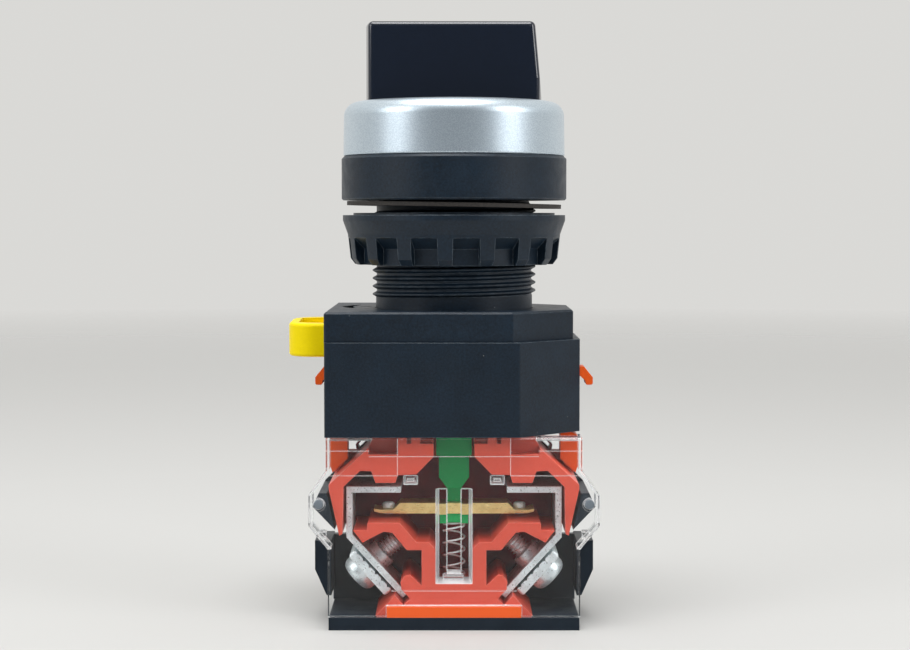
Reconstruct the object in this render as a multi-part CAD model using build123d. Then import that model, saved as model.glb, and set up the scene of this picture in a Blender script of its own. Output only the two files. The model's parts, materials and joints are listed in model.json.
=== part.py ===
"""Panel-mount selector switch with one clip-on contact block. Millimetres, +Z up.

The origin is on the neck axis in the plane of the collar's underside, which is the
front face of the panel. X runs along the knob's blade and Y runs to the back.
The contact block hangs under the front half of the body.
"""
import os
from math import cos, pi, radians, sin

from build123d import *

os.makedirs("parts", exist_ok=True)

# ---------------------------------------------------------------- driving dimensions
COLLAR_R = 15.0
COLLAR_TOP = 5.83
BEZEL_R = 14.75
BEZEL_TOP = 13.0
BOSS_R = 13.2
BOSS_TOP = 11.7
KNOB_TOP = 23.53
KNOB_R = 11.7
KNOB_FOOT = 9.3
STEM_R = 5.9
SEAL_Z = 6.2
BLADE_HALF = 3.5
POINTER_TOP = 10.66
POINTER_SLOPE = 0.091

THREAD_R = 10.9
THREAD_PITCH = 1.06
THREAD_END = -12.6
NECK_R = 10.45
NECK_END = -20.4
ROTOR_BORE_R = 8.8
ROTOR_R = 8.4
ROTOR_FOOT = -13.0
CAM_LOW = -15.4
DETENT_Z = -8.0
SCREW_HEAD_TOP = -11.05
LUG_R = 12.0
NUT_TEETH = 16
NUT_TOOTH_WIDTH = 2.0
NUT_TURNED = 4.6

CAP_TOP = -14.3
SHELL_TOP = -18.16
SHELL_BOTTOM = -30.25
SHELL_LEFT = -16.5
SHELL_RIGHT = 16.47
SHELL_HALF = 15.0
SHELL_CHAMFER = 8.1
RING_SEAT = -20.85
RING_SEAT_R = 13.75

BASE_TOP = -53.35
BASE_BOTTOM = -54.95
BASE_HALF = 16.02
BLOCK_FRONT = -15.0
BLOCK_BACK = 0.0
BACK_WALL = 1.5
BLOCK_MID = -7.5
LATCH_Y = -5.0
LATCH_HALF = 1.6
LATCH_PIVOT = (-15.0, -34.6)
LATCH_PIN_R = 0.5
EAR_PIN = (-17.27, -38.8)
EAR_PIN_R = 0.6
COVER_FACE = -14.9
COVER_PLATE = 0.95
FRAME_FRONT = -13.8
WELL_FLOOR = -49.15

TRAVEL = 1.25
PUSHER_Y = 6.5
LEVER_SWING = 20.0
LEVER_END = -21.9
LEVER_HALF = 6.0
LEVER_RISE = 1.8

TERMINAL_TILT = 47.5
TERMINAL_X = -10.1
TERMINAL_Z = -46.8
TERMINAL_FRONT = -11.3
TERMINAL_THICK = 0.85
SCREW_R = 1.25
SCREW_PITCH = 0.45
TIP_X = 8.55
RIVET_R = 0.48
ARM_TOP = -36.92
ARM_UNDER = -37.75
BRIDGE_TOP = -40.25
BRIDGE_UNDER = -40.7
STEM_HALF = 0.95
PLUNGER_FOOT = -41.9

FIT = 0.02


# ---------------------------------------------------------------- shape helpers
def block(x0, x1, y0, y1, z0, z1):
    """A box between two corners."""
    size = (x1 - x0, y1 - y0, z1 - z0)
    middle = ((x0 + x1) / 2, (y0 + y1) / 2, (z0 + z1) / 2)
    return Pos(*middle) * Box(*size)


def disc(radius, z0, z1, x=0.0, y=0.0):
    """An upright cylinder from z0 to z1."""
    return Pos(x, y, (z0 + z1) / 2) * Cylinder(radius, z1 - z0)


def ring(outer, inner, z0, z1, x=0.0, y=0.0):
    """An upright tube."""
    return disc(outer, z0, z1, x, y) - disc(inner, z0 - 1, z1 + 1, x, y)


def plate(points, y0, y1):
    """An outline in X and Z, pushed back from y0 to y1."""
    face = make_face(Polyline(*points, close=True))
    return Pos(0, y1, 0) * Rot(90, 0, 0) * extrude(face, y1 - y0)


def plate_disc(radius, centre, y0, y1):
    """A cylinder about an (x, z) centre, from y0 back to y1."""
    x, z = centre
    return Pos(x, (y0 + y1) / 2, z) * Rot(90, 0, 0) * Cylinder(radius, y1 - y0)


def slab(points, z0, z1):
    """An outline in X and Y, raised from z0 to z1."""
    face = make_face(Polyline(*points, close=True))
    return Pos(0, 0, z0) * extrude(face, z1 - z0)


def drafted(x0, x1, z0, z1, y_wide, y_narrow, inset):
    """A box whose four sides lean in by inset on the way from y_wide to y_narrow."""
    ends = []
    for y, lean in ((y_wide, 0.0), (y_narrow, inset)):
        corners = [
            (x0 + lean, z0 + lean),
            (x1 - lean, z0 + lean),
            (x1 - lean, z1 - lean),
            (x0 + lean, z1 - lean),
        ]
        ends.append(Pos(0, y, 0) * Rot(90, 0, 0) * make_face(Polyline(*corners, close=True)))
    return loft(ends)


def turned(points):
    """A profile of (radius, height) points turned about the Z axis."""
    face = make_face(Polyline(*points, close=True))
    return revolve(Rot(90, 0, 0) * face, Axis.Z)


def sector(outer, inner, z0, z1, start, end):
    """The piece of a tube between two angles in degrees."""
    far = outer * 2
    middle = (start + end) / 2
    angles = (start, middle, end)
    wedge = [(0, 0)] + [(far * cos(radians(a)), far * sin(radians(a))) for a in angles]
    return ring(outer, inner, z0, z1) & slab(wedge, z0, z1)


def across(shape):
    """The same shape on the other side of the YZ plane."""
    return mirror(shape, about=Plane.YZ)


def both_sides(points):
    """A left-half outline, read from the centre line outwards, closed by its mirror image."""
    return points + [(-x, z) for x, z in reversed(points)]


def coil(radius, wire, z0, z1, turns, x=0.0, y=0.0, closed_ends=False):
    """A round-wire compression spring, with a closed turn at each end if asked."""
    low = z0 + wire / 2
    high = z1 - wire / 2
    closed = wire * 1.1
    spans = [(low, high, turns)]
    if closed_ends:
        spans = [(low, low + closed, 1.0), (low + closed, high - closed, turns), (high - closed, high, 1.0)]
    spring = None
    for start, end, count in spans:
        path = Helix(pitch=(end - start) / count, height=end - start, radius=radius, center=(x, y, start))
        section = Plane(origin=path @ 0, z_dir=path % 0) * Circle(wire / 2)
        stretch = sweep(section, path=path, is_frenet=True)
        spring = stretch if spring is None else spring + stretch
    return spring


def save(name, shape):
    """Write one sub-part."""
    export_step(shape, f"parts/{name}.step")


# ---------------------------------------------------------------- operator head
def make_blade():
    """The handle's blade, square at one end and sloping at the end that points."""
    foot = KNOB_FOOT + 1.7
    outline = [
        (-KNOB_R - 1, foot),
        (-KNOB_R - 1, KNOB_TOP),
        (POINTER_TOP, KNOB_TOP),
        (POINTER_TOP + POINTER_SLOPE * (KNOB_TOP - foot), foot),
    ]
    blade = plate(outline, -BLADE_HALF, BLADE_HALF) & disc(KNOB_R, foot, KNOB_TOP)
    upper = [e for e in blade.edges() if e.center().Z > foot + 1]
    return fillet(upper, 0.7)


def indicator_band(clearance):
    """The region of the blade's top and sloping end that the white strip fills."""
    half = 0.8 - clearance
    depth = 0.6 - clearance
    start = 3.0 + clearance
    foot = 14.6 + clearance
    outside = 1.0
    foot_x = POINTER_TOP + POINTER_SLOPE * (KNOB_TOP - foot)
    points = [
        (start, KNOB_TOP + outside),
        (foot_x + outside, KNOB_TOP + outside),
        (foot_x + outside, foot),
        (foot_x - depth, foot),
        (POINTER_TOP - depth, KNOB_TOP - depth),
        (start, KNOB_TOP - depth),
    ]
    return plate(points, -half, half)


def make_knob():
    """The handle: the blade on a round disc, with a stem that drives the rotor."""
    base = disc(KNOB_R + 0.1, KNOB_FOOT, KNOB_FOOT + 3)
    base = chamfer(base.edges().group_by(Axis.Z)[-1], 0.3)
    stem = disc(STEM_R, -4.0, KNOB_FOOT + 0.1)
    drive_flat = block(STEM_R - 1, 7.0, -6, 6, -4.5, 2.4)
    screw_hole = disc(1.25, -5, 4.5)
    return make_blade() + base + stem - drive_flat - screw_hole - indicator_band(0.0)


def make_indicator():
    """The white strip, flush with the blade."""
    return make_blade() & indicator_band(FIT)


def make_bezel():
    """The silver ring: a cup that snaps over the head, with a rounded shoulder."""
    shoulder = 1.9
    lip = BEZEL_TOP - 1.05
    opening = KNOB_R + 0.35
    bore = BOSS_R + 0.15
    profile = [
        (BEZEL_R, COLLAR_TOP + FIT),
        (BEZEL_R - 0.1, BEZEL_TOP),
        (opening, BEZEL_TOP),
        (opening, lip),
        (bore, lip),
        (bore, COLLAR_TOP + FIT),
    ]
    cup = turned(profile)
    rim = [e for e in cup.edges() if e.center().Z > BEZEL_TOP - 0.1 and e.radius > BOSS_R]
    cup = fillet(rim, shoulder)
    foot = [e for e in cup.edges() if e.center().Z < COLLAR_TOP + 0.1 and e.radius > bore]
    return fillet(foot, 0.2)


def make_thread(radius, root, start, end):
    """A single-start right-hand ridge wound round the neck from its left side, with a thin flat crest."""
    path = Helix(pitch=THREAD_PITCH, height=end - start, radius=root, center=(0, 0, start))
    depth = radius - root
    ridge = Polyline((-0.2, -0.5), (depth, -0.09), (depth, 0.09), (-0.2, 0.5), close=True)
    section = Plane(origin=(root, 0, start), x_dir=(1, 0, 0), z_dir=(0, 1, 0)) * make_face(ridge)
    return Rot(0, 0, 180) * sweep(section, path=path, is_frenet=True)


def make_head_housing():
    """Collar, boss under the bezel and hollow threaded neck in one moulding."""
    bevel = 0.35
    root = THREAD_R - 0.55
    relief_r = NECK_R - 0.4
    seat = KNOB_FOOT - 0.3
    shaft_r = STEM_R + 0.3
    profile = [
        (ROTOR_BORE_R, NECK_END),
        (NECK_R, NECK_END),
        (NECK_R, THREAD_END),
        (root, THREAD_END + 0.2),
        (root, -0.6),
        (relief_r, -0.3),
        (relief_r, 0.0),
        (COLLAR_R - 0.2, 0.0),
        (COLLAR_R, 0.2),
        (COLLAR_R, COLLAR_TOP - bevel),
        (COLLAR_R - bevel, COLLAR_TOP),
        (BOSS_R, COLLAR_TOP),
        (BOSS_R, BOSS_TOP),
        (BOSS_R - 1, BOSS_TOP),
        (BOSS_R - 1, seat),
        (shaft_r, seat),
        (shaft_r, 3.0),
        (ROTOR_BORE_R, 3.0),
    ]
    body = turned(profile)
    thread = make_thread(THREAD_R, root, THREAD_END + 0.1, -0.9)
    seal_groove = ring(7.45, 5.0, SEAL_Z - 1, SEAL_Z + 1)
    stop_rib = sector(ROTOR_BORE_R + 0.2, 7.7, -4.0, 3.05, 36, 54)
    scoops = [
        Pos(ROTOR_BORE_R * cos(radians(a)), ROTOR_BORE_R * sin(radians(a)), DETENT_Z) * Sphere(0.9)
        for a in (0, 90, 180, 270)
    ]
    lugs = [sector(LUG_R, NECK_R - 0.3, -19.6, -18.4, a - 8, a + 8) for a in (90, 270)]
    return body + thread + stop_rib + lugs - seal_groove - scoops


def make_shaft_seal():
    """An O-ring in the groove round the knob's stem."""
    return Pos(0, 0, SEAL_Z) * Torus(STEM_R + 0.77, 0.73)


def make_ramp():
    """A quarter-turn helical ramp that rises by the push travel from -90 to 0 degrees."""
    middle = 6.55
    path = Helix(pitch=4 * TRAVEL, height=TRAVEL, radius=middle, center=(0, 0, CAM_LOW))
    half = 1.75
    face = Polyline((-half, 0), (half, 0), (half, 2.2), (-half, 2.2), close=True)
    section = Plane(origin=(middle, 0, CAM_LOW), x_dir=(1, 0, 0), z_dir=(0, -1, 0)) * make_face(face)
    return Rot(0, 0, -90) * sweep(section, path=path, is_frenet=True)


def make_rotor_cam():
    """The rotor under the knob: detent pockets, a stop window and two cam ramps below."""
    body = ring(ROTOR_R, STEM_R + FIT, ROTOR_FOOT, 2.6)
    web = disc(STEM_R + 0.3, ROTOR_FOOT, -4.1)
    key = block(STEM_R - 0.95, STEM_R + 0.4, -2.5, 2.5, -4.2, 2.2)
    window = sector(ROTOR_R + 0.2, ROTOR_R - 1, -4.5, 2.7, 35, 145)
    track_outer = ROTOR_R - 0.1
    track_inner = 4.8
    low = sector(track_outer, track_inner, CAM_LOW, ROTOR_FOOT + 0.5, -180, -90)
    high = sector(track_outer, track_inner, CAM_LOW + TRAVEL, ROTOR_FOOT + 0.5, 0, 90)
    rising = make_ramp()
    falling = mirror(rising, about=Plane(origin=(0, 0, 0), z_dir=(1, -1, 0)))
    rotor = body + web + key - window + low + high + rising + falling
    screw_hole = disc(1.6, -20, 0)
    head_recess = disc(3.2, -20, SCREW_HEAD_TOP + 0.05)
    pockets = [
        Rot(0, 0, a) * Pos(6.6, 0, DETENT_Z) * Rot(0, 90, 0) * Cylinder(1.1, 4.4)
        for a in (0, 180)
    ]
    return rotor - screw_hole - head_recess - pockets


def make_knob_screw():
    """The screw that pulls the rotor up against the knob's stem."""
    shank = disc(1.2, -11.2, 4.0)
    head = disc(2.7, ROTOR_FOOT, SCREW_HEAD_TOP)
    slot = block(-3, 3, -0.35, 0.35, ROTOR_FOOT - 0.1, ROTOR_FOOT + 0.8)
    return shank + fillet(head.edges().group_by(Axis.Z)[0], 0.5) - slot


def make_detent_balls():
    """Two balls that click into the scoops in the neck's bore."""
    return [Rot(0, 0, a) * Pos(ROTOR_BORE_R - 1.1, 0, DETENT_Z) * Sphere(1.0) for a in (0, 180)]


def make_detent_springs():
    """The springs behind the balls, each lying along its pocket."""
    one = Pos(0, 0, DETENT_Z) * Rot(0, 90, 0) * coil(0.75, 0.22, 4.5, 6.65, 3.5)
    return [one, Rot(0, 0, 180) * one]


# ---------------------------------------------------------------- panel fixing
def make_gasket():
    """A loose rubber washer, lying slightly tilted under the collar."""
    return Pos(0, 0, -0.62) * Rot(0, 1.0, 0) * ring(14.3, 11.25, -0.27, 0.27)


def make_lock_nut():
    """The panel nut: a flanged ring whose lower rim is cut into narrow teeth."""
    top = -1.68
    flange = -1.97
    foot = -8.5
    pocket_top = -4.9
    pocket_floor_r = 12.5
    bore = THREAD_R + 0.1
    profile = [
        (bore, top),
        (13.45, top),
        (13.45, flange),
        (14.85, flange),
        (14.85, flange - 0.7),
        (14.2, -4.5),
        (13.85, -7.7),
        (13.25, foot),
        (bore, foot),
    ]
    pitch_at_rim = 2 * pi * 14.0 / NUT_TEETH
    half_pocket = (pitch_at_rim - NUT_TOOTH_WIDTH) / 2
    pocket_side = [
        (16, pocket_top),
        (14.1, pocket_top),
        (pocket_floor_r, pocket_top - 1.45),
        (pocket_floor_r, foot - 0.1),
        (16, foot - 0.1),
    ]
    pocket = plate(pocket_side, -half_pocket, half_pocket)
    nut = turned(profile)
    for number in range(NUT_TEETH):
        nut -= Rot(0, 0, (number + 0.5) * 360 / NUT_TEETH - NUT_TURNED) * pocket
    return nut


# ---------------------------------------------------------------- body and its lock
def body_plan(right, half, chamfer_size, left=SHELL_LEFT):
    """The body's plan: square on the left, with its two right-hand corners cut off."""
    return [
        (left, -half),
        (right - chamfer_size, -half),
        (right, -half + chamfer_size),
        (right, half - chamfer_size),
        (right - chamfer_size, half),
        (left, half),
    ]


def lever_slot(z0, z1):
    """The opening in the left wall that the yellow lever swings in."""
    return block(SHELL_LEFT - 1, -8.0, -LEVER_HALF - 0.4, 12.9, z0, z1)


def make_arrow():
    """The cutter for the arrow in the lid: a curved head pointing left, and a short tail."""
    middle = 2.0
    depth = 0.5
    rear = (-12.7, middle + 5.0)
    front = (-12.9, middle - 5.0)
    nose = ThreePointArc(rear, (-15.1, middle), front)
    notch = Polyline(front, (-13.6, middle), rear)
    head = extrude(make_face([*nose.edges(), *notch.edges()]), depth + 1)
    tail = block(-12.7, -11.1, middle - 0.3, middle + 0.3, 0, depth + 1)
    return Pos(0, 0, CAP_TOP - depth) * (head + tail)


def make_body_cap():
    """The body's lid, with the neck hole and an engraved arrow that shows which way to unlock."""
    step = 0.87
    right = SHELL_RIGHT - step
    half = SHELL_HALF - 0.4
    cut = right + half - (SHELL_RIGHT + SHELL_HALF - SHELL_CHAMFER - step * 2 ** 0.5)
    lid = slab(body_plan(right, half, cut, SHELL_LEFT - 0.05), SHELL_TOP, CAP_TOP)
    lid = fillet(lid.edges().filter_by(Axis.Z), 0.3)
    lid = chamfer(lid.edges().group_by(Axis.Z)[-1], 0.25)
    hole = disc(NECK_R + 0.15, -20, 0)
    lug_slots = [sector(LUG_R + 0.2, 9.0, -20, 0, a - 9, a + 9) for a in (90, 270)]
    seat = disc(RING_SEAT_R, SHELL_TOP - 1, -16.2)
    return lid - hole - lug_slots - seat - make_arrow() - lever_slot(SHELL_TOP - 1, -15.6)


def make_body_shell():
    """The body: a seat for the lock ring on top and an open bay for contact blocks below."""
    side_wall = 0.8
    end_wall = 1.3
    ceiling = RING_SEAT - 1.6
    outer = slab(body_plan(SHELL_RIGHT, SHELL_HALF, SHELL_CHAMFER), SHELL_BOTTOM, SHELL_TOP)
    outer = fillet(outer.edges().filter_by(Axis.Z), 0.3)
    cut_line = SHELL_RIGHT + SHELL_HALF - SHELL_CHAMFER - side_wall * 2 ** 0.5
    right = SHELL_RIGHT - side_wall
    half = SHELL_HALF - end_wall
    inner = body_plan(right, half, right + half - cut_line, SHELL_LEFT + side_wall)
    bay = slab(inner, SHELL_BOTTOM - 1, ceiling)
    ring_seat = disc(RING_SEAT_R, RING_SEAT, SHELL_TOP + 1)
    guide = block(-3.6, 3.6, -9.6, 9.6, -27.0, ceiling + 0.1)
    shell = outer - ring_seat - bay - lever_slot(RING_SEAT, SHELL_TOP + 1) + guide
    for side in (-1, 1):
        shell -= disc(1.5, -40, 0, 0, side * PUSHER_Y)
        for y in (LATCH_Y, -LATCH_Y):
            near, far = sorted((side * 12.2, side * 18.0))
            half_window = LATCH_HALF + 0.25
            shell -= block(near, far, y - half_window, y + half_window, -24.35, -21.35)
    return shell


def make_bayonet_ring():
    """The yellow lock ring that grips the neck's lugs, with its finger lever on the left."""
    top = -16.4
    foot = -20.6
    groove_r = LUG_R + 0.3
    body = ring(RING_SEAT_R - 0.35, NECK_R + 0.25, foot, top)
    groove = ring(groove_r, 9.0, -19.85, -17.4)
    entries = [
        sector(groove_r, 9.0, -18.0, top + 1, a + LEVER_SWING - 10, a + LEVER_SWING + 10)
        for a in (90, 270)
    ]
    lever = block(LEVER_END, -11.0, -LEVER_HALF, LEVER_HALF, foot, -15.8)
    corners = [e for e in lever.edges().filter_by(Axis.Z) if e.center().X < LEVER_END + 1]
    lever = fillet(corners, 3.6)
    above = Pos(0, -LEVER_HALF, -16.24) * Rot(LEVER_RISE, 0, 0) * block(-30, 0, -1, 20, 0, 5)
    lever = lever - above - disc(12.8, -25, -10)
    lever = fillet([e for e in lever.edges() if e.center().X < LEVER_END + 2.5 and e.length > 2], 0.4)
    dish = slab([(-17.0, -4.2), (-20.6, -3.2), (-20.6, 3.6), (-17.0, 4.6)], -17.3, -15)
    return body + lever - groove - entries - dish


# ---------------------------------------------------------------- pushers
def pusher_top(side):
    """Height of a pusher's tip at rest: the front one (side -1) is held down by the cam."""
    return CAM_LOW - 0.05 + (0.0 if side < 0 else TRAVEL)


def make_pusher(side):
    """A round slide between the cam and a contact block's plunger."""
    y = side * PUSHER_Y
    top = pusher_top(side)
    length = 15.4
    tip = Pos(0, y, top - 3.0) * Sphere(3.0) & disc(1.4, top - 1.5, top + 1, 0, y)
    stem = disc(1.4, top - length, top - 1.0, 0, y)
    flange = disc(2.1, top - 2.2, top - 1.5, 0, y)
    return tip + stem + flange


def make_pusher_spring(side):
    """The light spring that keeps a pusher against the cam."""
    return coil(1.75, 0.22, RING_SEAT, pusher_top(side) - 2.2, 3.5, 0, side * PUSHER_Y)


# ---------------------------------------------------------------- contact block
def make_contact_housing():
    """The black carrier: base, back wall, side wings and the ears that the cover clips over."""
    base = block(-BASE_HALF, BASE_HALF, BLOCK_FRONT, BLOCK_BACK, BASE_BOTTOM, BASE_TOP)
    back = both_sides([
        (-10.6, -30.5),
        (-11.3, -31.7),
        (-16.0, -36.2),
        (-17.3, -37.5),
        (-18.1, -39.2),
        (-15.25, -42.4),
        (-14.1, -42.5),
        (-14.1, -44.7),
        (-16.2, -44.7),
        (-16.2, BASE_TOP - 0.1),
    ])
    body = base + plate(back, BLOCK_BACK - BACK_WALL, BLOCK_BACK)
    wing_outline = [(-16.06, -44.5), (-18.2, -44.5), (-18.2, -48.3), (-16.7, -51.7), (-16.06, -51.7)]
    wing = plate(wing_outline, -8.2, BLOCK_BACK)
    ear_outline = [(-17.3, -37.5), (-16.25, -37.5), (-15.25, -42.2), (-18.1, -39.2)]
    ear = plate(ear_outline, -13.6, BLOCK_BACK - BACK_WALL + 0.1)
    pin = plate_disc(EAR_PIN_R, EAR_PIN, -14.8, -13.4)
    rib_outline = [
        (-13.1, -32.5),
        (-11.35, -30.6),
        (-11.1, -30.6),
        (-12.85, -32.55),
        (-12.6, -33.1),
        (-13.0, -33.1),
    ]
    corner_rib = plate(rib_outline, -2.6, BLOCK_BACK)
    for piece in (wing, ear, pin, corner_rib):
        body = body + piece + across(piece)
    return body


def frame_upper_points():
    """The upper left wall of the red frame."""
    return [
        (-2.59, -30.41),
        (-2.59, -32.77),
        (-4.81, -35.06),
        (-7.16, -35.13),
        (-7.49, -36.15),
        (-10.03, -36.15),
        (-10.55, -34.67),
        (-11.98, -34.6),
        (-14.14, -36.7),
        (-14.29, -42.74),
        (-14.68, -42.94),
        (-16.0, -37.0),
        (-16.0, -36.4),
        (-11.0, -31.72),
        (-10.28, -30.41),
    ]


def frame_lower_points():
    """The lower wall of the red frame from the spring well outwards, left half."""
    return [
        (-2.4, WELL_FLOOR),
        (-2.4, -44.64),
        (-3.21, -43.77),
        (-4.83, -43.77),
        (-6.98, -41.28),
        (-11.07, -41.28),
        (-11.15, -42.2),
        (-12.9, -42.28),
        (-11.7, -43.83),
        (-9.0, -42.42),
        (-7.92, -42.55),
        (-6.04, -44.8),
        (-4.15, -44.8),
        (-4.16, -49.34),
        (-5.64, -47.98),
        (-6.31, -48.12),
        (-6.86, -48.93),
        (-6.72, -49.75),
        (-10.1, BASE_TOP + 0.02),
    ]


def make_contact_frame():
    """The red moulding whose walls locate the terminals and guide the plunger."""
    back = BLOCK_BACK - BACK_WALL - FIT
    upper = plate(frame_upper_points(), FRAME_FRONT, back)
    window = block(-10.93, -7.15, FRAME_FRONT - 1, FRAME_FRONT + 2.5, -32.5, -30)
    nick = block(-4.29, -2.5, FRAME_FRONT - 1, FRAME_FRONT + 1, -31.1, -30)
    small_nick = block(-6.0, -5.5, FRAME_FRONT - 1, FRAME_FRONT + 1, -31.1, -30)
    upper = upper - window - nick - small_nick
    foot_link = block(-14.6, -12.0, -3.0, back, -43.0, -42.3)
    shoulder_outline = [(-15.9, -33.2), (-12.3, -33.2), (-12.3, -33.6), (-15.6, -36.7), (-15.9, -36.6)]
    shoulder = plate(shoulder_outline, -3.2, back)
    shoulder -= plate_disc(LATCH_PIN_R + 0.06, LATCH_PIVOT, -4, 0)
    left = upper + foot_link + shoulder
    lower = plate(both_sides(frame_lower_points()), FRAME_FRONT, back)
    strap = block(-2.7, 2.7, -3.0, back, -34.0, -31.5)
    strip = block(-8.6, 8.6, BLOCK_FRONT, FRAME_FRONT + 0.5, BASE_TOP + 0.02, -51.92)
    frame = left + across(left) + lower + strap + strip
    for slot in (terminal_tail_slot(), across(terminal_tail_slot())):
        frame -= slot
    return frame


def make_latch():
    """The left springy arm, with the hook that catches in the body's side window."""
    arm = [
        (-15.95, -35.75),
        (-16.2, -35.0),
        (-16.2, -30.8),
        (-15.4, -30.4),
        (-15.4, -23.2),
        (-16.44, -22.95),
        (-17.2, -23.65),
        (-17.28, -24.2),
        (-18.2, -24.2),
        (-18.2, -23.2),
        (-17.05, -21.78),
        (-16.44, -21.78),
        (-15.3, -22.0),
        (-14.3, -22.8),
        (-13.95, -23.6),
        (-13.95, -33.9),
    ]
    latch = plate(arm, LATCH_Y - LATCH_HALF, LATCH_Y + LATCH_HALF)
    tip_edges = [e for e in latch.edges() if e.center().X < -17.25 and e.length > 3]
    latch = fillet(tip_edges, 0.28)
    pin_middle = LATCH_Y + LATCH_HALF
    return latch + plate_disc(LATCH_PIN_R, LATCH_PIVOT, pin_middle - 1.5, pin_middle + 1.5)


def cover_edge():
    """The left edge of the clear cover from its top corner down to the base."""
    return [
        (-16.34, -30.27),
        (-16.35, -34.46),
        (-18.56, -37.62),
        (-18.57, -41.66),
        (-16.12, -44.61),
        (-16.12, BASE_TOP + 0.02),
    ]


def inset_edge(points, inset):
    """The same edge moved towards the centre line."""
    return [(x + inset, z) for x, z in points]


def cover_line(x0, x1, z, width):
    """A level line moulded into the cover's face."""
    return block(x0, x1, COVER_FACE - 1, COVER_FACE + 0.15, z - width / 2, z + width / 2)


def cover_upright(x, z0, z1, width):
    """An upright line moulded into the cover's face."""
    return block(x - width / 2, x + width / 2, COVER_FACE - 1, COVER_FACE + 0.15, z0, z1)


def make_contact_cover():
    """The clear cover: a face plate with side walls, spring guide, posts and pin rings."""
    inner = COVER_FACE + COVER_PLATE
    face = plate(both_sides(cover_edge()), COVER_FACE, inner)
    face = chamfer(face.edges().group_by(Axis.Y)[0], 0.18)
    strip_slot = block(-8.65, 8.65, -16, -13, BASE_TOP - 1, -51.87)
    edge = cover_edge()[:5]
    skirt = plate(edge + list(reversed(inset_edge(edge, 0.4))), inner - 0.1, -10.2)
    post = drafted(-6.4, -4.66, -36.31, -35.2, inner - 0.1, -11.8, 0.2)
    post -= block(-6.0, -5.06, -16, -12.2, -35.95, -35.55)
    pin_ring = plate_disc(EAR_PIN_R + 0.28, EAR_PIN, BLOCK_FRONT, BLOCK_FRONT + 1)
    pin_hole = plate_disc(EAR_PIN_R + 0.04, EAR_PIN, BLOCK_FRONT - 1, BLOCK_FRONT + 2)
    clip = block(-17.3, -16.4, inner - 0.1, -11.5, -43.3, -42.5)
    rim = block(-16.3, -10.5, inner - 0.1, -12.1, -30.67, -30.27)
    fine = 0.05
    bold = 0.13
    cover = face - strip_slot
    cover -= cover_line(-10.8, 10.8, -32.66, fine)
    cover -= cover_line(-8.0, 8.0, -49.87, bold)
    for side in (-1, 1):
        near, far = sorted((side * 10.8, side * 16.3))
        cover -= cover_line(near, far, -31.94, bold)
        near, far = sorted((side * 7.2, side * 16.0))
        cover -= cover_line(near, far, -35.1, 0.08)
        cover -= cover_upright(side * 7.2, -35.1, -30.0, fine)
    for piece in (skirt, post, pin_ring, clip, rim):
        cover = cover + piece + across(piece)
    cover = cover - pin_hole - across(pin_hole)
    guide = drafted(-2.3, 2.3, -49.08, -36.9, inner - 0.1, -10.4, 0.33)
    guide -= block(-0.92, 0.92, -16, -9, -47.86, -36)
    guide -= block(-1.4, 1.2, -12.6, -9, -48.8, -48.3)
    return cover + guide


def make_plunger():
    """The green slide: a wide head, a waist and a stem that carries the bridge."""
    top = -30.9
    outline = both_sides([
        (-2.3, top),
        (-2.3, top - 2.15),
        (-1.95, top - 2.2),
        (-1.95, -35.9),
        (-STEM_HALF, -37.25),
        (-STEM_HALF, BRIDGE_UNDER),
    ])
    slide = plate(outline, BLOCK_MID - 2.5, BLOCK_MID + 2.5)
    stem_side = block(-5, 5, BLOCK_MID - 5, BLOCK_MID - STEM_HALF, -42, -37.3)
    slide = slide - stem_side - mirror(stem_side, about=Plane.XZ.offset(-BLOCK_MID))
    foot_half = 1.85
    foot_top = BRIDGE_UNDER - FIT
    foot = block(-foot_half, foot_half, BLOCK_MID - foot_half, BLOCK_MID + foot_half, PLUNGER_FOOT, foot_top)
    stem = block(-STEM_HALF, STEM_HALF, BLOCK_MID - STEM_HALF, BLOCK_MID + STEM_HALF, foot_top - 0.1, -37.0)
    return slide + stem + foot


def make_bridge():
    """The brass contact bridge: a stiffened channel with a flat blade at each end."""
    half = 2.2
    front = BLOCK_MID - half
    back = BLOCK_MID + half
    web_outline = both_sides([
        (-6.75, -39.8),
        (-7.6, BRIDGE_UNDER),
        (-7.9, BRIDGE_UNDER),
        (-7.9, BRIDGE_TOP),
        (-7.0, -39.3),
    ])
    flange_outline = both_sides([(-7.0, -39.4), (-7.8, BRIDGE_UNDER + 0.01)])
    blade_outline = [
        (-7.5, BRIDGE_TOP),
        (-7.5, BRIDGE_UNDER),
        (-9.6, BRIDGE_UNDER),
        (-10.4, -40.45),
        (-10.4, -40.1),
        (-9.6, BRIDGE_TOP),
    ]
    sheet = 0.45
    web = plate(web_outline, front, back)
    flange = plate(flange_outline, front, front + sheet)
    far_flange = Pos(0, 2 * half - sheet, 0) * flange
    blade = plate(blade_outline, front + 0.3, back - 0.3)
    hole_half = STEM_HALF + 0.05
    hole = block(-hole_half, hole_half, BLOCK_MID - hole_half, BLOCK_MID + hole_half, -42, -38)
    bridge = web + flange + far_flange + blade + across(blade)
    for x in (-TIP_X, TIP_X):
        bridge -= disc(RIVET_R + FIT, -42, -39, x, BLOCK_MID)
    return bridge - hole


def make_bridge_tips():
    """The silver contact rivets in the bridge's two blades."""
    tips = []
    for x in (-TIP_X, TIP_X):
        cap = disc(0.8, BRIDGE_TOP + FIT, BRIDGE_TOP + 0.8, x, BLOCK_MID)
        cap = fillet(cap.edges().group_by(Axis.Z)[-1], 0.35)
        shank = disc(RIVET_R, BRIDGE_UNDER - 0.05, BRIDGE_TOP + 0.05, x, BLOCK_MID)
        foot = disc(0.7, BRIDGE_UNDER - 0.27, BRIDGE_UNDER - FIT, x, BLOCK_MID)
        tips.append(cap + shank + foot)
    return tips


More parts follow.
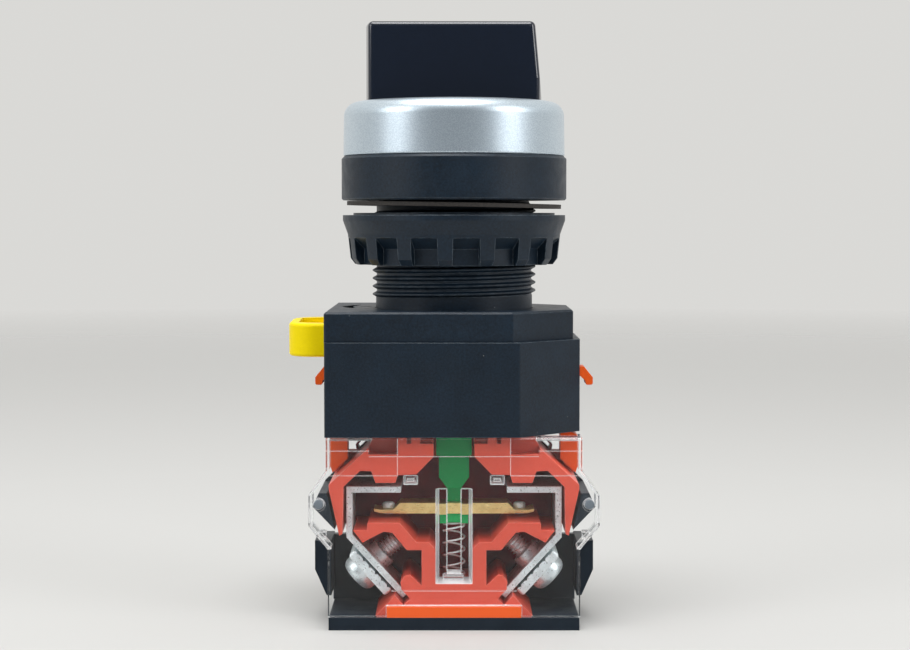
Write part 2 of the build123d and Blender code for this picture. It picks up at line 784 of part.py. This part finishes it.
def make_fixed_tips():
    """The silver contact rivets under the two terminals."""
    tips = []
    for x in (-TIP_X, TIP_X):
        cap = disc(0.8, ARM_UNDER - 0.39, ARM_UNDER - FIT, x, BLOCK_MID)
        shank = disc(RIVET_R, ARM_UNDER - 0.05, ARM_TOP - FIT, x, BLOCK_MID)
        tips.append(fillet(cap.edges().group_by(Axis.Z)[0], 0.2) + shank)
    return tips


def make_return_spring():
    """The spring that lifts the plunger to close the contacts."""
    foot = WELL_FLOOR + FIT
    top = PLUNGER_FOOT - FIT
    return coil(1.37, 0.25, foot, top, 4.0, 0, BLOCK_MID, closed_ends=True)


# ---------------------------------------------------------------- terminals
def on_terminal(shape):
    """Place a shape made about its own Z axis onto the left terminal's screw axis.

    Its +Z then runs inwards and up along the screw, and its +X runs down the plate."""
    return Pos(TERMINAL_X, BLOCK_MID, TERMINAL_Z) * Rot(0, TERMINAL_TILT, 0) * shape


def terminal_tail_slot():
    """The slot in the red frame that holds the plate's tail."""
    slot = block(2.0, 6.2, -7.0, 4.0, -0.75, 0.4)
    return on_terminal(slot)


def make_terminal():
    """The left terminal: contact arm, riser and sloping plate with an extruded screw collar."""
    back = BLOCK_BACK - BACK_WALL - FIT
    arm = block(-13.9, -6.85, TERMINAL_FRONT, back, ARM_UNDER, ARM_TOP)
    riser = block(-13.9, -13.1, TERMINAL_FRONT, back - 1.6, -43.35, ARM_TOP - 0.03)
    front = TERMINAL_FRONT - BLOCK_MID
    tail_back = 3.6
    foot = -0.6
    blade = block(-5.0, 5.75, front, tail_back, foot, foot + TERMINAL_THICK)
    collar = disc(SCREW_R + 0.6, foot + 0.2, 1.35)
    bore = disc(SCREW_R + 0.06, -3, 5)
    rivet_hole = disc(RIVET_R + FIT, -39, -36, -TIP_X, BLOCK_MID)
    return arm + riser + on_terminal(blade + collar - bore) - on_terminal(bore) - rivet_hole


def make_clamp():
    """The left wire clamp: a thick square washer with gripping grooves on its inner face."""
    inner_face = -0.95
    washer = block(-3.0, 4.1, -3.6, 3.6, -2.1, inner_face)
    washer = chamfer([e for e in washer.edges() if abs(e.center().X) > 2.9], 0.25)
    grooves = 6
    spacing = 1.15
    for number in range(grooves):
        washer -= Pos(number * spacing - 2.4, 0, inner_face) * Rot(0, 45, 0) * Box(0.3, 8, 0.3)
    bore = disc(SCREW_R + 0.12, -5, 5)
    return on_terminal(washer - bore)


def make_terminal_screw():
    """The left clamp screw: a domed combination head on a threaded shank."""
    head = disc(2.45, -3.95, -2.12)
    head = fillet(head.edges().group_by(Axis.Z)[0], 1.0)
    slot = block(-3, 3, -0.3, 0.3, -4.5, -3.1)
    cross = block(-0.3, 0.3, -1.4, 1.4, -4.5, -2.9)
    screw = head - slot - cross + disc(SCREW_R - 0.22, -2.3, 3.6)
    ridges = 12
    first = -1.6
    for number in range(ridges):
        z = first + number * SCREW_PITCH
        screw += turned([(0.9, z - 0.2), (SCREW_R, z), (0.9, z + 0.2)])
    return on_terminal(screw)


# ---------------------------------------------------------------- write every sub-part
save("knob", make_knob())
save("knob_indicator", make_indicator())
save("bezel", make_bezel())
save("head_housing", make_head_housing())
save("shaft_seal", make_shaft_seal())
save("rotor_cam", make_rotor_cam())
save("knob_screw", make_knob_screw())
save("detent_balls", Compound(children=make_detent_balls()))
save("detent_springs", Compound(children=make_detent_springs()))
save("panel_gasket", make_gasket())
save("lock_nut", make_lock_nut())
save("body_cap", make_body_cap())
save("body_shell", make_body_shell())
save("bayonet_ring", make_bayonet_ring())
for place, side in (("front", -1), ("rear", 1)):
    save(f"pusher_{place}", make_pusher(side))
    save(f"pusher_spring_{place}", make_pusher_spring(side))
save("contact_housing", make_contact_housing())
save("contact_frame", make_contact_frame())
save("contact_cover", make_contact_cover())
save("plunger", make_plunger())
save("bridge", make_bridge())
save("bridge_tips", Compound(children=make_bridge_tips()))
save("fixed_tips", Compound(children=make_fixed_tips()))
save("return_spring", make_return_spring())
paired = {
    "latch": make_latch(),
    "terminal": make_terminal(),
    "clamp_washer": make_clamp(),
    "terminal_screw": make_terminal_screw(),
}
for name, shape in paired.items():
    save(f"{name}_left", shape)
    save(f"{name}_right", across(shape))
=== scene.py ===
"""Looks for the panel-mount selector switch: materials, stage, lights and camera.

Everything is in metres in the CAD model's own frame: +Z up, -Y towards the viewer."""
import json
from math import radians

import bpy
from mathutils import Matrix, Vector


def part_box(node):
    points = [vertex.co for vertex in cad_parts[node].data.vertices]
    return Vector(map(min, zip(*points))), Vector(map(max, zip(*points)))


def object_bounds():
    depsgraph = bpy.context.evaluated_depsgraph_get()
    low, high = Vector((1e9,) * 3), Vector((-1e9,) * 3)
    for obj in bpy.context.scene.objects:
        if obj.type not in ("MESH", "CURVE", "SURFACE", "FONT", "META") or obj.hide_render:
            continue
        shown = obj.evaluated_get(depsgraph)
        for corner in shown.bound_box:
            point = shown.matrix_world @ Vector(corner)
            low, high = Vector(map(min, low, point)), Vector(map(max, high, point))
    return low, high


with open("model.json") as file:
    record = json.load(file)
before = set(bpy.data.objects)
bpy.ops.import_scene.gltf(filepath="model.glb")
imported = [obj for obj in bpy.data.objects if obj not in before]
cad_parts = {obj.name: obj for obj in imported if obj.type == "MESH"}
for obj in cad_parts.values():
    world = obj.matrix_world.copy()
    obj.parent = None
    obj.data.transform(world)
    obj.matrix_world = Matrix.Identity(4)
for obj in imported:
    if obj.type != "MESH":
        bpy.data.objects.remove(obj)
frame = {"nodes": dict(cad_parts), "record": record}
CAD_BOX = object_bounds()

MM = 0.001

# Places in the CAD model that bound some of the looks.
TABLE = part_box("contact_housing")[0].z          # the switch stands here
COVER_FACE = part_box("contact_cover")[0].y       # the clear cover's foremost plane
PIN_FACE = COVER_FACE + 0.4 * MM                # the carrier's hinge pins end in front of this
COVER_INSIDE = COVER_FACE + 0.7 * MM            # the cover's guide, posts and sides lie behind this
COVERED = COVER_FACE + 1.1 * MM                 # what lies behind this is seen through the cover
INTERIOR = COVER_FACE + 2.0 * MM                # the inside of the contact block lies behind this
BACK_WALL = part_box("contact_housing")[1].y - 1.2 * MM   # within the carrier's back wall
FRAME_HALF = 14.0 * MM      # half the width inside the frame's outer walls
BASE_SIDE = 16.3 * MM       # just outside the base's sides, with the hinge pins beyond
GUIDE_HALF = 7.1 * MM       # the cover's guide and posts lie nearer the middle than this
ARM_SLOPE = 1.09            # how far out the terminals' slanting arms go for each step down
ARM_REACH = 61.0 * MM       # |X| - ARM_SLOPE * Z along those arms

# Stage and camera.
FLOOR_RADIUS = 3.0
FADE_START = 0.15           # the table top starts to fade this far from the object
FADE_END = 0.9
CAMERA_PLACE = (0.00013, -0.265, -0.00235)
CAMERA_DIP = 3.10           # degrees below level
SENSOR_MM = 36.0
FOCAL_MM = 78.211

# Colours, linear from 0 to 1.
BARE_RED = (0.95, 0.12, 0.010)
# The frame's own red painted darker and duller where the clear cover lies in front: painted shade
# and haze from the cover.
SHADED_RED_UNDER_COVER = (0.70, 0.078, 0.042)
DUST = (0.5, 0.5, 0.48)
BACKDROP = (0.70, 0.695, 0.675)
ROOM_DIM = (0.12, 0.13, 0.145)
ROOM_BRIGHT = (0.72, 0.71, 0.69)
FLOOR_COLOUR = (0.55, 0.55, 0.54)


# ---------------------------------------------------------------- node helpers
class Nodes:
    """A material's or a world's node tree, with short calls for the nodes used here."""

    def __init__(self, owner, output="ShaderNodeOutputMaterial", space="Object"):
        owner.use_nodes = True
        self.owner = owner
        self.tree = owner.node_tree
        self.tree.nodes.clear()
        self.output = self.add(output)
        self.place = self.add("ShaderNodeTexCoord").outputs[space]

    def add(self, kind, **values):
        """A new node with the given settings."""
        node = self.tree.nodes.new(kind)
        for key, value in values.items():
            setattr(node, key, value)
        return node

    def link(self, source, target):
        """Joins an output socket to an input socket."""
        self.tree.links.new(source, target)

    def show(self, surface):
        """Makes a shader's output the surface of the whole tree."""
        self.link(surface, self.output.inputs["Surface"])

    def principled(self, **values):
        """A Principled shader with the given socket values."""
        node = self.add("ShaderNodeBsdfPrincipled")
        for key, value in values.items():
            node.inputs[key.replace("_", " ")].default_value = value
        return node

    def plain(self, kind, colour):
        """The output of a shader that has one colour and no other setting."""
        node = self.add(kind)
        node.inputs["Color"].default_value = (*colour, 1.0)
        return node.outputs[0]

    def either(self, factor, first, second):
        """The first shader where factor is 0, the second where it is 1."""
        node = self.add("ShaderNodeMixShader")
        for socket, source in zip(node.inputs, (factor, first, second)):
            self.link(source, socket)
        return node.outputs[0]

    def stretched(self, scale):
        """The coordinates scaled along each axis."""
        mapping = self.add("ShaderNodeMapping")
        mapping.inputs["Scale"].default_value = scale
        self.link(self.place, mapping.inputs["Vector"])
        return mapping.outputs[0]

    def component(self, vector, letter):
        """One component of a vector."""
        apart = self.add("ShaderNodeSeparateXYZ")
        self.link(vector, apart.inputs[0])
        return apart.outputs[letter]

    def axis(self, letter):
        """One of the coordinates."""
        return self.component(self.place, letter)

    def facing(self, letter):
        """How far the surface faces along one axis."""
        return self.component(self.add("ShaderNodeNewGeometry").outputs["Normal"], letter)

    def maths(self, operation, *values):
        """A sum worked out from sockets and plain numbers."""
        node = self.add("ShaderNodeMath", operation=operation)
        for socket, value in zip(node.inputs, values):
            if isinstance(value, bpy.types.NodeSocket):
                self.link(value, socket)
            else:
                socket.default_value = value
        return node.outputs[0]

    def product(self, first, *others):
        """The product of two or more values."""
        for other in others:
            first = self.maths("MULTIPLY", first, other)
        return first

    def noise(self, size, detail=2.0, roughness=0.5, vector=None):
        """Noise with features about size metres across, from 0 to 1."""
        node = self.add("ShaderNodeTexNoise")
        node.inputs["Scale"].default_value = 1.0 / size
        node.inputs["Detail"].default_value = detail
        node.inputs["Roughness"].default_value = roughness
        self.link(vector or self.place, node.inputs["Vector"])
        return node.outputs["Fac"]

    def cells(self, size):
        """Distance to the nearest of many scattered points, which are about size metres apart."""
        node = self.add("ShaderNodeTexVoronoi")
        node.inputs["Scale"].default_value = 1.0 / size
        self.link(self.place, node.inputs["Vector"])
        return node.outputs["Distance"]

    def spread(self, value, from_low, from_high, low=0.0, high=1.0):
        """Maps a value's range onto another, clamped."""
        node = self.add("ShaderNodeMapRange")
        self.link(value, node.inputs["Value"])
        limits = {"From Min": from_low, "From Max": from_high, "To Min": low, "To Max": high}
        for key, number in limits.items():
            node.inputs[key].default_value = number
        return node.outputs["Result"]

    def above(self, value, limit, blend):
        """1 where the value is over the limit and 0 where it is under, with a blend this wide."""
        return self.spread(value, limit - blend / 2, limit + blend / 2)

    def below(self, value, limit, blend):
        """1 where the value is under the limit and 0 where it is over, with a blend this wide."""
        return self.spread(value, limit - blend / 2, limit + blend / 2, 1.0, 0.0)

    def mix(self, factor, first, second):
        """A colour between two, each a colour or a socket."""
        node = self.add("ShaderNodeMix", data_type="RGBA")
        self.link(factor, node.inputs["Factor"])
        for socket, value in ((node.inputs[6], first), (node.inputs[7], second)):
            if isinstance(value, bpy.types.NodeSocket):
                self.link(value, socket)
            else:
                socket.default_value = (*value, 1.0)
        return node.outputs[2]

    def rounded(self, radius):
        """The normal as if edges were rounded by radius metres."""
        node = self.add("ShaderNodeBevel", samples=6)
        node.inputs["Radius"].default_value = radius
        return node.outputs[0]

    def bump(self, heights, shader, edge=0.0):
        """Adds (height, depth in metres) layers to a shader's normal, over edges rounded by edge."""
        normal = self.rounded(edge) if edge else None
        for height, depth in heights:
            node = self.add("ShaderNodeBump")
            node.inputs["Distance"].default_value = depth
            self.link(height, node.inputs["Height"])
            if normal is not None:
                self.link(normal, node.inputs["Normal"])
            normal = node.outputs[0]
        self.link(normal, shader.inputs["Normal"])

    def edge_mask(self, radius):
        """About 1 along edges and 0 on flats, from how far a rounded normal leans; it marks where
        edges are scuffed or carry a painted edge highlight.
        """
        lean = self.add("ShaderNodeVectorMath", operation="DOT_PRODUCT")
        self.link(self.rounded(radius), lean.inputs[0])
        self.link(self.add("ShaderNodeNewGeometry").outputs["Normal"], lean.inputs[1])
        return self.spread(lean.outputs["Value"], 0.98, 0.75)


def new_material(name):
    """The empty node tree of a new material."""
    return Nodes(bpy.data.materials.new(name))


# ---------------------------------------------------------------- materials
def moulded(name, colour, roughness, grain=0.12 * MM, depth=0.004 * MM, edge=0.15 * MM, edge_colour_scuffed_and_lit=None,
            dust_scuffs_and_sheen=0.8, mottle=0.18, uneven=0.06, sink=0.010 * MM, front=None, **extra):
    """Moulded plastic: fine grain, faint flow mottling, uneven gloss and paler edges, partly
    scuffing and partly a painted edge highlight.

    front is a (colour, Y) pair: the colour of whatever lies in front of that Y."""
    n = new_material(name)
    shader = n.principled(Roughness=roughness, **extra)
    flow = n.noise(5 * MM, detail=3.0)
    deep = tuple(c * (1 - mottle) for c in colour)
    pale = edge_colour_scuffed_and_lit or tuple(min(1.0, c * 1.5 + 0.02) for c in colour)
    tone = n.maths("ADD", n.product(flow, 0.4), n.product(n.noise(2.5 * grain), 0.6))
    body = n.mix(n.spread(tone, 0.35, 0.65), deep, colour)
    if front:
        colour_there, depth_y = front
        body = n.mix(n.below(n.axis("Y"), depth_y, 0.2 * MM), body, colour_there)
    specks = n.spread(n.cells(2.4 * MM), 0.035, 0.02, 0.0, 0.4 * dust_scuffs_and_sheen)
    dusty = n.mix(specks, body, DUST)
    # Paler edges: partly scuffing, partly a painted highlight of the light caught along rounded
    # edges.
    patches = n.spread(n.noise(0.8 * MM, detail=4.0), 0.35, 0.65, 0.15, dust_scuffs_and_sheen)
    edge_scuffs_and_sheen = n.product(n.edge_mask(edge), patches)
    n.link(n.mix(edge_scuffs_and_sheen, dusty, pale), shader.inputs["Base Color"])
    gloss = n.noise(1.6 * MM, detail=4.0)
    unevenness = n.spread(gloss, 0.3, 0.7, roughness - uneven, roughness + uneven)
    n.link(unevenness, shader.inputs["Roughness"])
    n.bump([(n.noise(grain), depth), (flow, sink)], shader, edge)
    n.show(shader.outputs[0])
    return n.owner


def carrier_moulding():
    """The carrier's black plastic, with red bounce light from the frame painted dark red on its back
    wall, and a painted sheen on its hinge pin tips.
    """
    n = new_material("carrier_look")
    shader = n.principled(Roughness=0.42, Specular_IOR_Level=0.2)
    flow = n.noise(3 * MM, detail=3.0)
    sideways = n.maths("ABSOLUTE", n.axis("X"))
    reach = n.maths("ADD", sideways, n.product(n.axis("Z"), -ARM_SLOPE))
    # Painted bounce light: red light from the frame's walls, painted dark red on the back wall
    # between the terminals' arms.
    painted_red_bounce = n.product(
        n.below(reach, ARM_REACH, 2.0 * MM),
        n.below(sideways, FRAME_HALF, 1.0 * MM),
        n.above(n.axis("Y"), INTERIOR, 1.0 * MM),
        n.below(n.axis("Y"), BACK_WALL, 0.2 * MM),
    )
    # Painted sheen: the hinge pin tips are painted a pale bluish colour, standing in for the gloss
    # reflection on their black ends.
    pin_tip_sheen = n.product(
        n.above(sideways, BASE_SIDE, 0.2 * MM),
        n.below(n.axis("Y"), PIN_FACE, 0.2 * MM),
    )
    black = n.mix(n.spread(flow, 0.3, 0.7), (0.009, 0.016, 0.025), (0.014, 0.023, 0.035))
    red_bounce_colour = n.mix(n.spread(flow, 0.35, 0.7), (0.20, 0.013, 0.020), (0.34, 0.024, 0.034))
    pin_sheen_colour = (0.17, 0.20, 0.23)
    n.link(n.mix(pin_tip_sheen, n.mix(painted_red_bounce, black, red_bounce_colour), pin_sheen_colour), shader.inputs["Base Color"])
    n.link(n.spread(flow, 0.3, 0.7, 0.36, 0.50), shader.inputs["Roughness"])
    n.bump([(n.noise(0.14 * MM), 0.005 * MM)], shader, 0.15 * MM)
    n.show(shader.outputs[0])
    return n.owner


def silver_paint():
    """Satin metallic paint with fine flake sparkle."""
    n = new_material("silver_paint_look")
    shader = n.principled(Metallic=0.9, Roughness=0.34, Coat_Weight=0.2, Coat_Roughness=0.2)
    flakes = n.cells(0.14 * MM)
    base = n.mix(n.spread(flakes, 0.1, 0.6), (0.84, 0.94, 1.0), (0.58, 0.68, 0.76))
    n.link(base, shader.inputs["Base Color"])
    n.link(n.spread(flakes, 0.1, 0.6, 0.30, 0.38), shader.inputs["Roughness"])
    n.bump([(flakes, 0.006 * MM)], shader, 0.15 * MM)
    n.show(shader.outputs[0])
    return n.owner


def clear_moulding():
    """Clear cover plastic: glass to the eye, with edges and upright rib walls painted pale as a
    painted highlight, and open to the lamps' light.
    """
    n = new_material("clear_moulding_look")
    glass = n.principled(Base_Color=(0.98, 0.99, 0.995, 1.0), Roughness=0.02, IOR=1.30,
                         Transmission_Weight=1.0)
    smears = n.spread(n.noise(1.5 * MM, detail=4.0), 0.5, 0.8, 0.0, 0.06)
    n.link(smears, glass.inputs["Roughness"])
    n.bump([(n.noise(4 * MM), 0.004 * MM)], glass)
    # A white shader that paints highlights along the cover's edges and rib walls, standing in for
    # light caught in them.
    painted_edge_light = n.principled(Base_Color=(0.95, 0.96, 0.97, 1.0), Roughness=0.2)

    inside = n.above(n.axis("Y"), COVER_INSIDE, 0.4 * MM)
    upright = n.spread(n.maths("ABSOLUTE", n.facing("Y")), 0.3, 0.2, 0.0, 0.35)
    near_middle = n.below(n.maths("ABSOLUTE", n.axis("X")), GUIDE_HALF, 0.2 * MM)
    rib_walls_lit = n.product(upright, near_middle, inside)
    inner_edges = n.product(n.edge_mask(0.24 * MM), inside)
    face_edges = n.edge_mask(0.06 * MM)
    strongest = n.maths("MAXIMUM", n.maths("MAXIMUM", inner_edges, rib_walls_lit), face_edges)
    edge_light_amount = n.spread(strongest, 0.05, 0.45, 0.0, 0.92)
    outlined = n.either(edge_light_amount, glass.outputs[0], painted_edge_light.outputs[0])

    to_lamps = n.add("ShaderNodeLightPath").outputs["Is Shadow Ray"]
    open_to_light = n.plain("ShaderNodeBsdfTransparent", (0.96, 0.97, 0.97))
    n.show(n.either(to_lamps, outlined, open_to_light))
    return n.owner


def metal(name, colour, tarnish, roughness, grain=0.08 * MM, depth=0.004 * MM, edge=0.08 * MM,
          along=(1.0, 1.0, 1.0), metallic=1.0):
    """Bare or plated metal: grain that along can stretch, faint tarnish and brighter edges, partly
    scuffing and partly a painted edge highlight.
    """
    n = new_material(name)
    shader = n.principled(Metallic=metallic, Roughness=roughness)
    patches = n.noise(1.2 * MM, detail=5.0, roughness=0.6)
    body = n.mix(n.spread(patches, 0.4, 0.75, 0.0, 0.8), colour, tarnish)
    # Painted edge highlight: edges lightened towards a paler copy of the metal's colour.
    bright = tuple(min(1.0, c * 1.15 + 0.12) for c in colour)
    n.link(n.mix(n.edge_mask(edge), body, bright), shader.inputs["Base Color"])
    streaks = n.noise(grain, detail=3.0, vector=n.stretched(along))
    unevenness = n.spread(streaks, 0.3, 0.7, roughness - 0.08, roughness + 0.12)
    n.link(unevenness, shader.inputs["Roughness"])
    n.bump([(streaks, depth), (patches, 0.006 * MM)], shader, edge)
    n.show(shader.outputs[0])
    return n.owner


def rubber():
    """Dull brownish-grey rubber with a fine mottled skin."""
    n = new_material("rubber_look")
    shader = n.principled(Roughness=0.75)
    skin = n.noise(0.25 * MM, detail=4.0)
    base = n.mix(n.spread(skin, 0.3, 0.7), (0.022, 0.020, 0.019), (0.060, 0.052, 0.047))
    n.link(base, shader.inputs["Base Color"])
    n.link(n.spread(skin, 0.3, 0.7, 0.65, 0.85), shader.inputs["Roughness"])
    n.bump([(skin, 0.02 * MM)], shader, 0.1 * MM)
    n.show(shader.outputs[0])
    return n.owner


def plastic_looks():
    """The moulded plastics, by material slot."""
    return {
        # Their paler edge colours are painted edge highlights along with some scuffing; on the two
        # blacks the bluish edge colour paints the sky's reflection.
        "black_gloss": moulded("black_gloss_look", (0.0055, 0.0105, 0.023), 0.16, depth=0.0008 * MM,
                               edge_colour_scuffed_and_lit=(0.05, 0.08, 0.11), dust_scuffs_and_sheen=0.5, mottle=0.06, uneven=0.02,
                               sink=0.002 * MM, Coat_Weight=0.6, Coat_Roughness=0.06),
        "black_matte": moulded("black_matte_look", (0.0075, 0.0195, 0.036), 0.42, depth=0.018 * MM,
                               edge=0.18 * MM, edge_colour_scuffed_and_lit=(0.22, 0.28, 0.33), dust_scuffs_and_sheen=0.9, mottle=0.5,
                               Specular_IOR_Level=0.33),
        "white_plastic": moulded("white_look", (0.80, 0.80, 0.78), 0.35),
        "yellow_plastic": moulded("yellow_look", (1.0, 0.78, 0.0), 0.42, edge_colour_scuffed_and_lit=(1.0, 0.85, 0.1),
                                  mottle=0.06, Specular_IOR_Level=0.12),
        "red_plastic": moulded("red_look", BARE_RED, 0.38, edge_colour_scuffed_and_lit=(1.0, 0.35, 0.18), mottle=0.1,
                               Specular_IOR_Level=0.25),
        "green_plastic": moulded("green_look", (0.012, 0.42, 0.11), 0.36, mottle=0.1,
                                 Specular_IOR_Level=0.2),
        "natural_nylon": moulded("nylon_look", (0.72, 0.70, 0.62), 0.45),
    }


def metal_looks():
    """The bare and plated metals, by material slot."""
    return {
        "brass": metal("brass_look", (0.95, 0.74, 0.32), (0.74, 0.50, 0.18), 0.32,
                       along=(0.08, 1, 1), metallic=0.8),
        "silver_tip": metal("silver_tip_look", (0.88, 0.98, 1.0), (0.76, 0.84, 0.86), 0.24,
                            metallic=0.4),
        "nickel_steel": metal("nickel_look", (0.90, 0.98, 1.0), (0.54, 0.59, 0.61), 0.32,
                              grain=0.25 * MM, depth=0.030 * MM, edge=0.16 * MM, metallic=0.55),
        "spring_steel": metal("spring_look", (0.97, 0.97, 0.98), (0.85, 0.85, 0.87), 0.30,
                              metallic=0.3),
    }


def slot_looks():
    """One look for each material slot of the record."""
    return {
        **plastic_looks(),
        **metal_looks(),
        "silver_paint": silver_paint(),
        "gasket_rubber": rubber(),
        "clear_cover": clear_moulding(),
    }


def own_looks():
    """Looks for the two nodes whose colour changes from place to place with painted light: bounce
    light and pin sheen on the carrier, shade under the cover on the frame.
    """
    return {
        "contact_housing": carrier_moulding(),
        # Painted shade: behind the cover's front plane the frame is painted a darker, duller red;
        # only the strip in front shows its own red.
        "contact_frame": moulded("frame_look", SHADED_RED_UNDER_COVER, 0.38, edge_colour_scuffed_and_lit=(0.90, 0.32, 0.26),
                                 mottle=0.1, front=(BARE_RED, COVERED)),
    }


def dress_nodes():
    """Gives each CAD node its own look, or else the look of its material slot."""
    by_slot = slot_looks()
    by_node = own_looks()
    for part in frame["record"]["subparts"]:
        node = frame["nodes"][part["node"]]
        look = by_node.get(part["node"]) or by_slot[part["material_slot"]]
        if not node.material_slots:
            node.data.materials.append(look)
        for slot in node.material_slots:
            slot.material = look


# ---------------------------------------------------------------- stage, light and camera
def make_floor():
    """A wide pale table top that fades into the background far from the object."""
    bpy.ops.mesh.primitive_circle_add(
        vertices=96, radius=FLOOR_RADIUS, fill_type="NGON", location=(0, 0, TABLE)
    )
    floor = bpy.context.object
    floor.name = "table_top"
    n = new_material("table_look")
    top = n.principled(Base_Color=(*FLOOR_COLOUR, 1.0), Roughness=0.6, Specular_IOR_Level=0.3)
    away = n.add("ShaderNodeVectorMath", operation="LENGTH")
    n.link(n.place, away.inputs[0])
    faded = n.spread(away.outputs["Value"], FADE_START, FADE_END)
    nothing = n.plain("ShaderNodeBsdfTransparent", (1.0, 1.0, 1.0))
    n.show(n.either(faded, top.outputs[0], nothing))
    floor.data.materials.append(n.owner)


def make_sky():
    """A pale backdrop, lit as a room that is bright above and behind the object and dim in front."""
    world = bpy.data.worlds.new("pale_room")
    n = Nodes(world, "ShaderNodeOutputWorld", "Generated")
    up_and_back = n.maths("ADD", n.axis("Y"), n.axis("Z"))
    room = n.add("ShaderNodeBackground")
    n.link(n.mix(n.spread(up_and_back, -0.7, 0.7), ROOM_DIM, ROOM_BRIGHT), room.inputs["Color"])
    backdrop = n.plain("ShaderNodeBackground", BACKDROP)
    seen = n.add("ShaderNodeLightPath").outputs["Is Camera Ray"]
    n.show(n.either(seen, room.outputs[0], backdrop))
    bpy.context.scene.world = world


def softbox(name, place, target, width, height, watts):
    """A rectangular soft lamp aimed at a point."""
    lamp = bpy.data.lights.new(name, "AREA")
    lamp.shape = "RECTANGLE"
    lamp.size = width
    lamp.size_y = height
    lamp.energy = watts
    holder = bpy.data.objects.new(name, lamp)
    holder.location = place
    direction = holder.location - target
    holder.rotation_euler = direction.to_track_quat("Z", "Y").to_euler()
    bpy.context.scene.collection.objects.link(holder)


def make_lights():
    """A broad overhead key and two weaker softboxes at the sides."""
    low, high = CAD_BOX
    middle = (low + high) / 2
    softbox("key_light", (-0.05, -0.12, 0.60), middle, width=0.45, height=0.35, watts=3.4)
    softbox("left_light", (-0.50, -0.28, 0.22), middle, width=0.25, height=0.30, watts=0.9)
    softbox("right_light", (0.50, -0.28, 0.22), middle, width=0.25, height=0.30, watts=1.1)


def make_camera():
    """A long lens straight in front of the contact block, tipped slightly down."""
    camera = bpy.data.cameras.new("camera")
    camera.sensor_width = SENSOR_MM
    camera.lens = FOCAL_MM
    camera.clip_start = 10 * MM
    holder = bpy.data.objects.new("camera", camera)
    holder.location = CAMERA_PLACE
    holder.rotation_euler = (radians(90 - CAMERA_DIP), 0.0, 0.0)
    bpy.context.scene.collection.objects.link(holder)
    bpy.context.scene.camera = holder


bpy.context.scene.view_settings.view_transform = "Standard"
make_floor()
make_sky()
make_lights()
make_camera()
dress_nodes()
